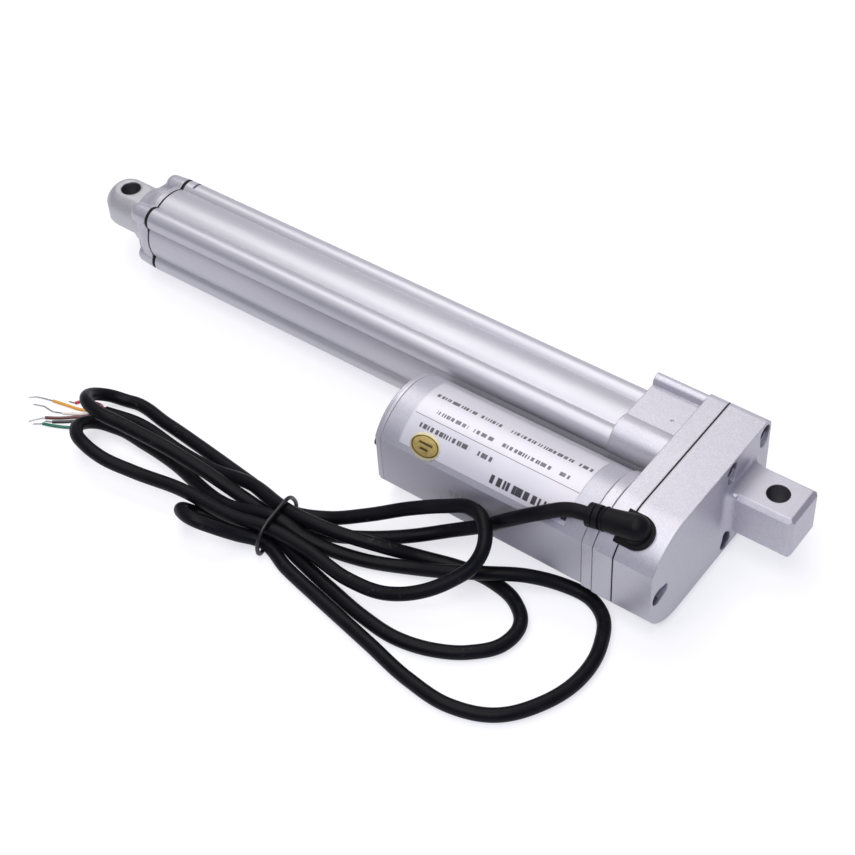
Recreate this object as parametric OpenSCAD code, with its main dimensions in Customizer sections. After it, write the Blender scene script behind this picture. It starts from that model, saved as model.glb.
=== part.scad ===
// Linear actuator, 200 mm stroke, right-angle gearbox with motor beside the tube.
// Frame: origin at the rear mounting hole, +X along the tube to the rod eye,
// +Y towards the motor, +Z along both mounting holes. Retracted pose.

/* [Reach] */
// Distance between the two mounting holes, retracted
pin_gap = 305; // [303:0.5:310]
// Travel of the rod
stroke = 200; // [150:1:200]

/* [Mounting holes] */
// Diameter of the rear mounting hole
rear_hole_d = 8.4; // [6:0.1:9]
// Diameter of the front mounting hole
front_hole_d = 8.2; // [6:0.1:9]

/* [Rear block] */
// Width of the rear block across Y
block_w = 19; // [17:0.5:22]
// Height of the rear block along Z
block_h = 19.2; // [17:0.1:22]
// How far the rear block reaches behind its hole
block_e = 10.9; // [9:0.1:13]
// Bevel on the edges of the rear block
block_c = 1.6; // [0.5:0.1:2.5]

/* [Gear case] */
// Half height of the gear case
case_h = 22.5; // [22.5:0.1:24]
// Far side of the gear case from the tube axis
case_far = 19.5; // [19.5:0.1:22]
// Corner radius on the far side
case_r = 3.5; // [2:0.1:5]
// Reach of the flat at the motor end from the motor axis
case_flat = 19.5; // [19:0.1:20]
// Wall of the gear case
case_wall = 2.6; // [2.2:0.1:2.6]

/* [Tube] */
// Outer radius of the round part of the tube
barrel_r = 15.5; // [15.4:0.1:16.2]
// Radius of the four corner ribs
rib_r = 4.8; // [4.4:0.1:5]
// Offset of each corner rib from the tube axis in Y and Z
rib_c = 10.6; // [10.4:0.05:10.8]
// Bore radius of the tube
bore_r = 13.5; // [13.5:0.05:13.8]

/* [Rod] */
// Diameter of the rod
rod_d = 20; // [19.5:0.1:20]
// Bore of the rod
rod_bore_d = 14; // [13.6:0.1:14.6]
// Half thickness of the flats on the rod eye
eye_h = 9; // [8.5:0.1:9.2]

/* [Drive] */
// Major diameter of the lead screw
screw_d = 10; // [9:0.1:10]
// Lead of the screw
lead = 2; // [2:1:3]
// Motor axis from the tube axis
motor_y = 38.6; // [38.6:0.05:38.7]
// Teeth on the motor pinion
z_pinion = 17; // [17:1:17]
// Teeth on the large idler wheel
z_idler = 59; // [59:1:59]
// Teeth on the small idler wheel
z_small = 12; // [12:1:12]
// Teeth on the screw gear
z_screw = 44; // [44:1:44]

/* [Cable] */
// Diameter of the cable
cable_d = 5.2; // [4.8:0.1:5.6]
// Diameter of each inner wire
wire_d = 1.3; // [1.1:0.1:1.5]

/* [Hidden] */
$fn = 64;

xr = 14.7;            // rear face of the gear case
xs = 30;              // rear case ends, gasket begins
xg = 30.6;            // gasket ends, front case begins
xp = 38.2;            // front face of the front case plate
xw = 34.6;            // inner face of the front case wall
xk = 59.2;              // mouth of the tube socket
xt = 43;              // rear end of the tube
tube_end = 282;       // front end of the tube
g_t = 0.8;            // front gasket thickness
cap_x = tube_end + g_t;
cap_f = 295;          // front face of the end cap
xc0 = 38.6;           // motor collar
xc1 = 43.2;
xm1 = 129;            // motor cover ends
xm2 = 132.2;          // end cap face
cover_r = 21.5;
case_screw_yz = [[-15.3, 17.8], [-15.3, -17.8], [7.1, 18.3], [7.1, -18.3], [53.6, -2.3]];
tail_dir = [[0.05, -1], [0.05, 1], [-0.05, -1], [-0.05, 1], [-1, -0.04]];
tail_depth = [1.4, 1.4, 1.4, 1.4, 2.2];
ribs = [[1, 1], [-1, 1], [-1, -1], [1, -1]];
port_c = 11;          // screw ports in the ribs, offset in Y and Z
idler_y = (z_small + z_screw) * 0.35;

silver = [0.76, 0.76, 0.79];
anod = [0.82, 0.82, 0.84];
black = [0.07, 0.07, 0.08];

// ---- helpers ----
module xext(x0, x1) { translate([x0, 0, 0]) rotate([90, 0, 90]) linear_extrude(x1 - x0) children(); }
module xcyl(x0, x1, r, y = 0, z = 0) { translate([x0, y, z]) rotate([0, 90, 0]) cylinder(h = x1 - x0, r = r); }
module xring(x0, x1, ro, ri, y = 0, z = 0) {
  difference() { xcyl(x0, x1, ro, y, z); xcyl(x0 - 1, x1 + 1, ri, y, z); }
}
module tube_outline(g = 0) {
  circle(r = barrel_r + g, $fn = 96);
  for (s = ribs) translate([s[0] * rib_c, s[1] * rib_c]) circle(r = rib_r + g);
}
module rib_discs(r) { for (s = ribs) translate([s[0] * rib_c, s[1] * rib_c]) circle(r = r); }
// outline of the gear case seen along X, brought in by t
module case_outline(t = 0) {
  h = case_h - t; f = case_far - t; r = max(case_r - t, 0.8);
  translate([-f + r, -h]) square([motor_y + f - r, 2 * h]);
  translate([-f, -h + r]) square([motor_y + f, 2 * (h - r)]);
  for (s = [-1, 1]) translate([-f + r, s * (h - r)]) circle(r = r);
  intersection() {
    translate([motor_y, 0]) circle(r = h, $fn = 128);
    translate([motor_y - 1, -h]) square([case_flat - t + 1, 2 * h]);
  }
}
// D outline of the motor cover
module d_outline(r, f) {
  intersection() {
    translate([motor_y, 0]) circle(r = r, $fn = 128);
    translate([motor_y - r - 1, -r - 1]) square([r + 1 + f, 2 * r + 2]);
  }
}
// involute gear outline: z teeth, module m, stub addendum, backlash b
function inv(a) = tan(a) * 180 / PI - a;
function gear_pt(rb, r, off, s) = let(a = r > rb ? acos(rb / r) : 0, t = off - inv(a)) [r * cos(s * t), r * sin(s * t)];
function gear_tooth(z, m, ad, dd, b, k) =
  let(rp = z * m / 2, rb = rp * cos(20), ra = rp + ad * m, rf = rp - dd * m,
      half = 90 / z - b / rp * 90 / PI + inv(20), r0 = max(rb, rf), n = 4,
      up = [for (i = [0:n]) let(r = r0 + (ra - r0) * i / n) gear_pt(rb, r, half, -1)],
      dn = [for (i = [n:-1:0]) let(r = r0 + (ra - r0) * i / n) gear_pt(rb, r, half, 1)],
      root1 = [rf * cos(half), -rf * sin(half)], root2 = [rf * cos(half), rf * sin(half)],
      all = concat(rf < rb - 0.01 ? [root1] : [], up, dn, rf < rb - 0.01 ? [root2] : []),
      c = cos(k * 360 / z), s = sin(k * 360 / z))
  [for (p = all) [p[0] * c - p[1] * s, p[0] * s + p[1] * c]];
module gear_outline(z, m, ad = 0.75, dd = 1, b = 0.06) {
  polygon([for (k = [0:z - 1]) for (p = gear_tooth(z, m, ad, dd, b, k)) p]);
}
module chamfer_box(x0, x1, hy, hz, c) {
  intersection() {
    translate([0, 0, -hz]) linear_extrude(2 * hz)
      polygon([[x1, -hy], [x0 + c, -hy], [x0, -hy + c], [x0, hy - c], [x0 + c, hy], [x1, hy]]);
    translate([0, hy, 0]) rotate([90, 0, 0]) linear_extrude(2 * hy)
      polygon([[x1, -hz], [x0 + c, -hz], [x0, -hz + c], [x0, hz - c], [x0 + c, hz], [x1, hz]]);
    xext(x0, x1) polygon([[-hy + c, -hz], [hy - c, -hz], [hy, -hz + c], [hy, hz - c],
                          [hy - c, hz], [-hy + c, hz], [-hy, hz - c], [-hy, -hz + c]]);
  }
}
// shallow tail that makes a round screw pocket an oblong one
module pocket_tail(d, reach = 3.7) {
  rotate(atan2(d[1], d[0])) {
    translate([reach, 0]) circle(r = 2.6);
    polygon([[0, -3.4], [reach, -2.6], [reach, 2.6], [0, 3.4]]);
  }
}
module screw(x0, x1, r, hr, hh, y, z, s = 1) {
  // head from x0 back by hh, shank from x0 to x1, cross recess in the head
  difference() {
    union() {
      translate([x0, y, z]) rotate([0, 90, 0]) cylinder(h = x1 - x0, r = r);
      translate([x0 - hh, y, z]) rotate([0, 90, 0]) cylinder(h = hh, r = hr);
    }
    translate([x0 - hh - 0.01, y - 0.4, z - hr * 0.62]) cube([hh * 0.6, 0.8, hr * 1.24]);
    translate([x0 - hh - 0.01, y - hr * 0.62, z - 0.4]) cube([hh * 0.6, hr * 1.24, 0.8]);
  }
}

// ---- gear case ----
module rear_gear_case() {
  color(silver) difference() {
    union() {
      difference() {
        xext(xr, xs) case_outline();
        xext(xr + 3, xs + 1) case_outline(case_wall);
      }
      for (p = case_screw_yz) {
        intersection() { xcyl(xr + 2, 22, 4.25, p[0], p[1]); xext(xr, xs) case_outline(0.5); }
        intersection() { xcyl(xr + 2, xs, 3.3, p[0], p[1]); xext(xr, xs) case_outline(0.5); }
      }
      xcyl(xr + 2, 21.6, 4.5, idler_y, 0);
      chamfer_box(-block_e, xr + 1, block_w / 2, block_h / 2, block_c);
      rear_coves(3.5);
    }
    translate([0, 0, -block_h]) cylinder(h = 2 * block_h, d = rear_hole_d);
    for (i = [0:4]) {
      p = case_screw_yz[i];
      xcyl(xr - 1, 21.2, 3.45, p[0], p[1]);
      translate([0, p[0], p[1]]) xext(xr - 1, xr + tail_depth[i]) pocket_tail(tail_dir[i]);
      xcyl(xr, xs + 1, 2.1, p[0], p[1]);
    }
    xcyl(12.7, xr + 4, 5);
    xcyl(16, xs, 2.5, idler_y, 0);
  }
}
// coved foot of the rear block on the case face
module rear_coves(r) {
  hy = block_w / 2; hz = block_h / 2; c = block_c;
  for (s = [-1, 1]) {
    difference() {
      translate([xr - r, -hy + c, s > 0 ? hz - 0.5 : -hz - r]) cube([r + 0.5, 2 * (hy - c), r + 0.5]);
      translate([xr - r, 0, s * (hz + r)]) rotate([90, 0, 0]) cylinder(h = 4 * hy, r = r, center = true);
    }
    difference() {
      translate([xr - r, s > 0 ? hy - 0.5 : -hy - r, -hz + c]) cube([r + 0.5, r + 0.5, 2 * (hz - c)]);
      translate([xr - r, s * (hy + r), 0]) cylinder(h = 4 * hz, r = r, center = true);
    }
    for (t = [-1, 1]) translate([xr - r, s * (hy - c), t * (hz - c)]) rotate([0, 90, 0]) rotate_extrude()
      difference() {
        square([c + r, r + 0.5]);
        translate([c + r, 0]) circle(r = r);
      }
  }
}
// outline of the tube socket: round near ribs, narrow far lips, flat between
module socket_outline() {
  translate([-case_far + 1.4, -19]) square([case_far - 1.4 + 8.5, 38]);
  translate([8, -14]) square([8, 28]);
  for (s = [-1, 1]) {
    translate([8.5, s * 12.2]) circle(r = 8);
    translate([-case_far + 3.9, s * 19.9]) circle(r = 2.5);
    translate([-case_far + 1.4, s > 0 ? 15 : -19.9]) square([5, 4.9]);
  }
}
module front_gear_case() {
  color(silver) difference() {
    union() {
      difference() {
        xext(xg, xp) case_outline();
        xext(xg - 1, xw) case_outline(case_wall);
      }
      for (p = case_screw_yz)
        intersection() { xcyl(xg, xp, 3.3, p[0], p[1]); xext(xg, xp) case_outline(0.5); }
      xext(xp - 1, xk) socket_outline();
      // boss around the screw bearing
      intersection() { xcyl(xw - 0.1, xp, 13.2); xext(xg + 3, xp) case_outline(1); }
    }
    xext(xt, xk + 1) tube_outline(0.05);
    xcyl(xg - 1, 41.9, 11.02);
    xcyl(xg, xt + 1, 8.5);
    for (p = case_screw_yz) xcyl(xg - 1, xp - 0.8, 1.98, p[0], p[1]);
    for (s = ribs) {
      xcyl(xg, 37, 3.3, s[0] * port_c, s[1] * port_c);
      xcyl(xg, xt + 1, 1.95, s[0] * port_c, s[1] * port_c);
    }
    xcyl(xg, 37, 2.5, idler_y, 0);
    // motor pilot and screw holes
    xcyl(xg, xp + 1, 6.02, motor_y, 0);
    for (s = [-1, 1]) xcyl(xg, xp + 1, 1.6, motor_y, s * 9);
    // drain dimple on the flat top
    translate([44, -1.5, 18.6]) cylinder(h = 1, r = 0.5);
  }
}
module case_gasket() {
  color(black) difference() {
    xext(xs, xg) difference() { case_outline(0.15); case_outline(2.4); }
    for (p = case_screw_yz) xcyl(xs - 1, xg + 1, 2.15, p[0], p[1]);
  }
}
module case_screws() {
  color([0.45, 0.45, 0.47]) for (p = case_screw_yz) screw(21.2, 36.8, 1.94, 3, 4, p[0], p[1]);
}
// ---- tube and front end ----
module outer_tube() {
  color(anod) difference() {
    union() {
      xext(xt, tube_end) circle(r = barrel_r, $fn = 96);
      for (s = ribs) xcyl(xt, tube_end - 0.8, rib_r, s[0] * rib_c, s[1] * rib_c);
    }
    xcyl(xt - 1, tube_end + 1, bore_r);
    for (s = ribs) xcyl(xt - 1, tube_end + 1, 1.86, s[0] * port_c, s[1] * port_c);
    // vent slit across the far rib
    translate([277, -rib_c - 1.2, rib_c + 4.6]) rotate([20, 0, 0]) cube([1.1, 5, 2.6], center = true);
  }
}
module front_gasket() {
  color(black) difference() {
    union() {
      xext(tube_end, cap_x) circle(r = barrel_r - 0.1, $fn = 96);
      for (s = ribs) xcyl(tube_end - 0.78, cap_x, rib_r - 0.1, s[0] * rib_c, s[1] * rib_c);
    }
    xcyl(tube_end - 2, cap_x + 1, bore_r + 0.1);
    xcyl(tube_end - 2, tube_end, barrel_r + 0.05);
    for (s = ribs) xcyl(tube_end - 2, cap_x + 1, 1.9, s[0] * port_c, s[1] * port_c);
  }
}
module front_end_cap() {
  color(silver) difference() {
    union() {
      xext(cap_x, cap_x + 2.4) circle(r = barrel_r - 0.05, $fn = 96);
      translate([cap_x + 2.4, 0, 0]) rotate([0, 90, 0]) rotate_extrude($fn = 96)
        polygon([[8, 0], [barrel_r - 0.05, 0], [14.4, 1.4], [13.3, 3.4], [12.4, 6], [11.9, cap_f - cap_x - 3.2], [11.2, cap_f - cap_x - 2.4], [8, cap_f - cap_x - 2.4]]);
      for (s = ribs) translate([cap_x, s[0] * rib_c, s[1] * rib_c]) rotate([0, 90, 0]) rotate_extrude()
        polygon([[0, 0], [rib_r - 0.05, 0], [rib_r - 0.15, 1.5], [rib_r - 0.55, 6.6], [rib_r - 0.75, 7.7], [rib_r - 1.15, 8.5], [0, 8.5]]);
      // sloping webs from each boss to the hub and along the sides
      for (s = ribs) translate([cap_x, 0, 0]) rotate([atan2(s[1], s[0]), 0, 0]) translate([0, 0, -3.4]) linear_extrude(6.8)
        polygon([[0, 6], [0, 18.6], [6.2, 17.2], [11.4, 11], [11.4, 6]]);
      for (s = [-1, 1]) translate([cap_x, s * 6, -rib_c]) linear_extrude(2 * rib_c)
        polygon([[0, 0], [0, s * 8.6], [5, s * 8.2], [8.2, s * 6.4], [9.4, s * 4], [9.4, 0]]);
    }
    xcyl(cap_x - 1, cap_f + 1, rod_d / 2 + 0.3);
    xcyl(cap_x - 1, cap_x + 5.4, 13.05);
    for (s = ribs) {
      xcyl(cap_x - 1, cap_f, 1.9, s[0] * port_c, s[1] * port_c);
      xcyl(cap_x + 6, cap_f, 2.85, s[0] * port_c, s[1] * port_c);
    }
  }
}
module front_cap_screws() {
  color([0.5, 0.5, 0.52]) for (s = ribs) mirror([1, 0, 0])
    screw(-(cap_x + 6), -268, 1.8, 2.65, 2, s[0] * port_c, s[1] * port_c);
}
module tube_screws() {
  color([0.5, 0.5, 0.52]) for (s = ribs) screw(37, 56, 1.8, 2.8, 2.1, s[0] * port_c, s[1] * port_c);
}
module rod_guide_bush() {
  color([0.92, 0.9, 0.84]) difference() {
    xring(267, 281.9, bore_r - 0.04, rod_d / 2 + 0.06);
    translate([266, 11.2, -3]) cube([4, 5, 6]);
  }
}
module rod_seal() {
  color(black) union() {
    xring(cap_x + 0.1, cap_x + 5.3, 13, 10.9);
    xring(cap_x + 1.4, cap_x + 2.6, 11.2, rod_d / 2 + 0.03);
    xring(cap_x + 4, cap_x + 5.2, 11.2, rod_d / 2 + 0.03);
  }
}
// ---- moving rod ----
module rod_tube() {
  color([0.8, 0.8, 0.81]) difference() {
    xring(57.5, 295.15, rod_d / 2, rod_bore_d / 2);
    for (s = [-1, 1]) translate([61.5, 0, s * 8.5]) cylinder(h = 6, r = 1.5, center = true);
  }
}
module rod_eye() {
  color(silver) difference() {
    union() {
      xcyl(276, 295.5, rod_bore_d / 2 - 0.02);
      intersection() {
        union() {
          xcyl(295.2, pin_gap, 10.4);
          translate([pin_gap, 0, 0]) rotate([0, 90, 0]) rotate_extrude()
            polygon(concat([[0, -0.5], [10.4, -0.5]], [for (i = [0:12]) let(a = i * 7.5) [2.2 + 8.2 * cos(a), 2.6 + 8.2 * sin(a)]], [[0, 10.8]]));
        }
        union() {
          translate([pin_gap, 0, -eye_h]) cylinder(h = 2 * eye_h, r = 10.8);
          translate([295, -11, -eye_h]) cube([pin_gap - 295, 22, 2 * eye_h]);
        }
      }
    }
    translate([pin_gap, 0, -20]) cylinder(h = 40, d = front_hole_d);
    translate([pin_gap, 0, eye_h - 0.2]) cylinder(h = 0.21, d1 = front_hole_d, d2 = front_hole_d + 0.4);
    translate([pin_gap, 0, -eye_h - 0.01]) cylinder(h = 0.21, d2 = front_hole_d, d1 = front_hole_d + 0.4);
  }
}
module drive_nut() {
  color([0.72, 0.56, 0.3]) difference() {
    union() {
      xcyl(45.5, 57.45, bore_r - 0.1);
      xcyl(57.4, 66.5, rod_bore_d / 2 - 0.03);
    }
    xcyl(45, 67, screw_d / 2 + 0.06);
    // slot for the switch board
    translate([45, 10.2, -3.4]) cube([12.6, 5, 6.8]);
    for (s = [-1, 1]) translate([61.5, 0, s * 8.5]) cylinder(h = 6, r = 1.5, center = true);
  }
}
module nut_pins() {
  color([0.6, 0.6, 0.62]) for (s = [-1, 1]) translate([61.5, 0, s * 7.7]) cylinder(h = 4.2, r = 1.48, center = true);
}
// ---- screw and its bearings ----
module lead_screw() {
  r = screw_d / 2; n = floor((268 - 44) / lead);
  color([0.62, 0.62, 0.64]) difference() {
    union() {
      translate([44, 0, 0]) rotate([0, 90, 0]) rotate_extrude()
        polygon(concat([[0, 0]], [for (i = [0:n - 1]) for (p = [[r - 1.1, 0.35], [r, 0.75], [r, 1.25], [r - 1.1, 1.65]]) [p[0], i * lead + p[1]]],
          [[r - 1.1, n * lead], [0, n * lead]]));
      xcyl(41.95, 44.05, r);
      xcyl(13.2, 42, 3.97);
      xcyl(267.9, 271, 3.4);
    }
    translate([23, -1.25, 2.8]) cube([5, 2.5, 3]);
    xring(28.4, 29.2, 6, 3.6);
  }
}
module screw_tip_guide() {
  color([0.2, 0.2, 0.21]) xring(268.1, 270.8, rod_bore_d / 2 - 0.06, 3.42);
}
module screw_gear() {
  a = 360 / z_screw;
  color([0.87, 0.85, 0.78]) difference() {
    union() {
      xext(22.35, 28.3) difference() {
        rotate(gear_phase_screw) gear_outline(z_screw, 0.7);
        for (k = [0:5]) rotate(k * 60 + 30) translate([9.6, 0]) circle(r = 2.1);
      }
    }
    xcyl(20, 30, 4.0);
    translate([20, -1.27, 2.8]) cube([10, 2.54, 2.25]);
  }
}
// phases that put a tooth of one wheel in a gap of the next along Y
gear_phase_screw = 0;
gear_phase_small = 180 + 180 / z_small;
gear_phase_idler = 0;
gear_phase_pinion = 180 + 180 / z_pinion;
module gear_key() { color([0.55, 0.55, 0.57]) translate([23.02, -1.23, 2.82]) cube([4.96, 2.46, 2.2]); }
module screw_retaining_ring() {
  color([0.3, 0.3, 0.32]) difference() {
    xring(28.42, 29.18, 5.4, 3.62);
    translate([28, -1.2, -7]) cube([2, 2.4, 5]);
  }
}
module rear_bush() { color([0.7, 0.55, 0.32]) xring(12.72, 17.68, 4.98, 4.02); }
module thrust_washer_fixed() { color([0.66, 0.66, 0.68]) xring(17.72, 18.9, 9.5, 4.3); }
module thrust_balls() {
  color([0.7, 0.7, 0.72]) for (k = [0:8]) rotate([k * 40, 0, 0]) translate([20, 6.8, 0]) sphere(r = 1.06, $fn = 24);
}
module thrust_washer_turning() { color([0.66, 0.66, 0.68]) xring(21.12, 22.3, 9.5, 4.0); }
module screw_bearing_outer() {
  color([0.66, 0.66, 0.68]) difference() {
    xring(34.9, 41.88, 11, 9);
    translate([38.39, 0, 0]) rotate([0, 90, 0]) rotate_extrude() translate([7.5, 0]) circle(r = 2.05, $fn = 32);
  }
}
module screw_bearing_balls() {
  color([0.7, 0.7, 0.72]) for (k = [0:6]) rotate([k * 360 / 7, 0, 0]) translate([38.39, 7.5, 0]) sphere(r = 1.95, $fn = 24);
}
module screw_bearing_inner() {
  color([0.66, 0.66, 0.68]) difference() {
    xring(34.9, 41.88, 6, 4);
    translate([38.39, 0, 0]) rotate([0, 90, 0]) rotate_extrude() translate([7.5, 0]) circle(r = 2.05, $fn = 32);
  }
}
// ---- idler ----
module idler_gear() {
  color([0.9, 0.88, 0.82]) translate([0, idler_y, 0]) difference() {
    union() {
      xext(22.05, 28.7) rotate(gear_phase_small) gear_outline(z_small, 0.7);
      xcyl(28.6, 29.9, 3.4);
      xext(29.8, 34) difference() {
        rotate(gear_phase_idler) gear_outline(z_idler, 0.5);
        for (k = [0:5]) rotate(k * 60 + 30) translate([9.2, 0]) circle(r = 2.3);
      }
    }
    xcyl(20, 36, 2.54);
  }
}
module idler_shaft() { color([0.6, 0.6, 0.62]) xcyl(16.1, 36.9, 2.49, idler_y, 0); }
module idler_washers() {
  color([0.75, 0.6, 0.35]) { xring(21.62, 22, 4, 2.52, idler_y); xring(34.05, 34.55, 4, 2.52, idler_y); }
}
// ---- end-of-travel switches ----
module limit_switch_board() { color([0.1, 0.35, 0.2]) translate([44, 12, -2.5]) cube([222, 0.8, 5]); }
module limit_switches() {
  color([0.12, 0.12, 0.13]) for (x = [44.2, 260.5]) translate([x, 10.45, -2]) cube([5, 1.55, 4]);
}
// ---- motor ----
module motor_collar() {
  color(silver) difference() {
    xext(xc0, xc1 - 0.45) d_outline(case_h - 0.3, case_flat - 0.3);
    xcyl(xc0 - 1, xc1, 17.65, motor_y, 0);
    // relief beside the tube socket
    translate([xc0 - 1, 10, -30]) cube([xc1 - xc0 + 2, 6.15, 60]);
  }
}
module motor_cover() {
  color(silver) difference() {
    xext(xc1, xm1) d_outline(cover_r, 18.7);
    xcyl(xc1 - 1, xm1 + 1, 17.7, motor_y, 0);
  }
}
module motor_end_cap() {
  color(silver) difference() {
    union() {
      xext(xm1 + 0.12, 130.6) d_outline(cover_r, 18.7);
      xext(130.5, 131.6) d_outline(cover_r - 0.5, 18.3);
      xext(131.5, xm2) d_outline(cover_r - 1.4, 17.6);
      xcyl(124.5, 129.2, 17.6, motor_y, 0);
    }
    xcyl(124, 129.6, 16, motor_y, 0);
    for (p = end_screws) xcyl(128, xm2 + 1, 1.3, motor_y + p[0], p[1]);
  }
}
end_screws = [[15.2, 5], [-7, 14.5], [-7, -14.5]];
module end_cap_screws() {
  color([0.2, 0.2, 0.21]) for (p = end_screws) mirror([1, 0, 0])
    screw(-xm2, -129.8, 1.25, 2.1, 1.1, motor_y + p[0], p[1]);
}
module motor_screws() {
  color([0.5, 0.5, 0.52]) for (s = [-1, 1]) screw(xw, 40.6, 1.5, 2.4, 1.8, motor_y, s * 9);
}
module motor_can() {
  color([0.7, 0.7, 0.72]) difference() {
    xcyl(xp + 0.2, 106, 17.5, motor_y, 0);
    xcyl(40.4, 107, 16, motor_y, 0);
    xcyl(38, 42, 4.02, motor_y, 0);
    for (s = [-1, 1]) xcyl(38, 42, 1.55, motor_y, s * 9);
  }
}
module motor_magnets() {
  color([0.25, 0.25, 0.27]) for (s = [0, 180]) intersection() {
    xring(46, 96, 15.98, 13.4, motor_y, 0);
    translate([46, motor_y, 0]) rotate([s, 0, 0]) xext(-1, 52)
      polygon([[0, 0], [30, -24], [30, 24]]);
  }
}
module motor_front_bush() { color([0.7, 0.55, 0.32]) xring(xp + 0.3, 42.6, 4, 1.62, motor_y, 0); }
module motor_endbell() {
  color([0.85, 0.85, 0.82]) difference() {
    union() { xcyl(106.02, 108.4, 17.5, motor_y, 0); xcyl(103.4, 106.1, 15.95, motor_y, 0); }
    xcyl(100, 110, 4.02, motor_y, 0);
  }
}
module motor_rear_bush() { color([0.7, 0.55, 0.32]) xring(103.5, 108.3, 4, 1.62, motor_y, 0); }
module motor_shaft() { color([0.66, 0.66, 0.68]) xcyl(29.4, 115.2, 1.58, motor_y, 0); }
module armature_core() {
  color([0.4, 0.4, 0.42]) translate([0, motor_y, 0]) difference() {
    xext(52, 86) difference() {
      circle(r = 13);
      for (k = [0:4]) rotate(k * 72) {
        translate([9.2, 0]) circle(r = 2.6);
        translate([9, -0.7]) square([6, 1.4]);
      }
    }
    xcyl(50, 90, 1.59);
  }
}
module armature_windings() {
  color([0.72, 0.38, 0.16]) { xring(46.6, 51.9, 12.2, 4.6, motor_y, 0); xring(86.1, 91.4, 12.2, 4.6, motor_y, 0); }
}
module commutator() {
  color([0.78, 0.5, 0.25]) translate([0, motor_y, 0]) xext(91.5, 101.5) difference() {
    circle(r = 4.4);
    circle(r = 1.59);
    for (k = [0:4]) rotate(k * 72 + 36) translate([3.4, -0.25]) square([2, 0.5]);
  }
}
module brush_holder() {
  color([0.5, 0.32, 0.16]) difference() {
    xring(97.2, 103.3, 15.9, 5.4, motor_y, 0);
    for (s = [-1, 1]) translate([98.2, motor_y - 2.1, s > 0 ? 4 : -14]) cube([4.2, 4.2, 10]);
    xcyl(97, 98.25, 12, motor_y, 0);
  }
}
module brushes() {
  color([0.2, 0.2, 0.2]) for (s = [-1, 1]) difference() {
    translate([98.3, motor_y - 2, s > 0 ? 4 : -12]) cube([4, 4, 8]);
    xcyl(98, 103, 4.46, motor_y, 0);
  }
}
module motor_pinion() {
  color([0.8, 0.62, 0.3]) translate([0, motor_y, 0]) difference() {
    xext(29.5, 34.3) rotate(gear_phase_pinion) gear_outline(z_pinion, 0.5);
    xcyl(28, 36, 1.59);
  }
}
module hall_magnet() { color([0.3, 0.3, 0.32]) xring(110, 114.5, 6, 1.59, motor_y, 0); }
module hall_board() {
  color([0.1, 0.35, 0.2]) union() {
    xring(117, 118.4, 16.4, 2.4, motor_y, 0);
    translate([115.6, motor_y - 2, 3]) cube([1.5, 4, 3]);
    translate([118.3, motor_y - 4, -13]) cube([4.5, 8, 6]);
  }
}
// ---- label and sticker: thin shells on the round cover ----
module rating_label() {
  color([0.93, 0.93, 0.95]) intersection() {
    xring(51, 121.5, cover_r + 0.13, cover_r, motor_y, 0);
    translate([0, motor_y, 0]) xext(50, 122) polygon([[0, 0], [-15, 26], [10, 30], [26, 19]]);
  }
}
module inspection_sticker() {
  color([0.78, 0.66, 0.3]) intersection() {
    xring(100, 120, cover_r + 0.28, cover_r + 0.13, motor_y, 0);
    // oval with a scalloped rim
    translate([111, motor_y, 0]) rotate([43.3 - 90, 0, 0]) linear_extrude(30)
      polygon([for (i = [0:89]) let(a = i * 4, k = 1 + 0.022 * cos(15 * a)) [6.25 * k * cos(a), 4.85 * k * sin(a)]]);
  }
}
// ---- cable ----
elbow_a = [25.9, 51, 23.2];
elbow_yaw = 6.7;
elbow_dip = 7.3;
elbow_len = 17.4;
elbow_dir = [cos(elbow_dip) * cos(elbow_yaw), cos(elbow_dip) * sin(elbow_yaw), -sin(elbow_dip)];
module cable_elbow() {
  a0 = 60.3;
  color(black) difference() {
    union() {
      intersection() {
        xring(19, 33, case_h + 1.8, case_h + 0.03, motor_y, 0);
        translate([0, motor_y, 0]) rotate([a0 - 90, 0, 0]) union() {
          translate([26, 0, 10]) cylinder(h = 20, r = 6.2);
          translate([26, -6.2, 10]) cube([6.1, 12.4, 20]);
        }
      }
      // upright neck from the plate to the barrel
      intersection() {
        translate([26, motor_y, 0]) rotate([a0 - 90, 0, 0]) translate([0, 0, 20]) cylinder(h = 6.4, r = 4.75);
        xring(15, 35, 40, case_h + 0.03, motor_y, 0);
      }
      translate(elbow_a) sphere(r = 4.75, $fn = 48);
      translate(elbow_a) rotate([0, elbow_dip, elbow_yaw]) rotate([0, 90, 0]) {
        cylinder(h = 11.2, r1 = 4.75, r2 = 4.05);
        translate([0, 0, 11.15]) cylinder(h = 0.9, r1 = 4.4, r2 = 4.1);
        cylinder(h = elbow_len, r = 3.4);
        translate([0, 0, 12.9]) cylinder(h = 2.1, r = 4.25);
        translate([0, 0, 15.3]) cylinder(h = 2.1, r = 4.25);
      }
    }
    xcyl(10, 46, case_h + 0.03, motor_y, 0);
    // the cable enters here
    translate(elbow_a) rotate([0, elbow_dip, elbow_yaw]) rotate([0, 90, 0])
      translate([0, 0, 16.2]) cylinder(h = 4, r = cable_d / 2 + 0.1);
  }
}
cz = -19.9;           // centre of the cable where it lies on the floor
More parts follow.
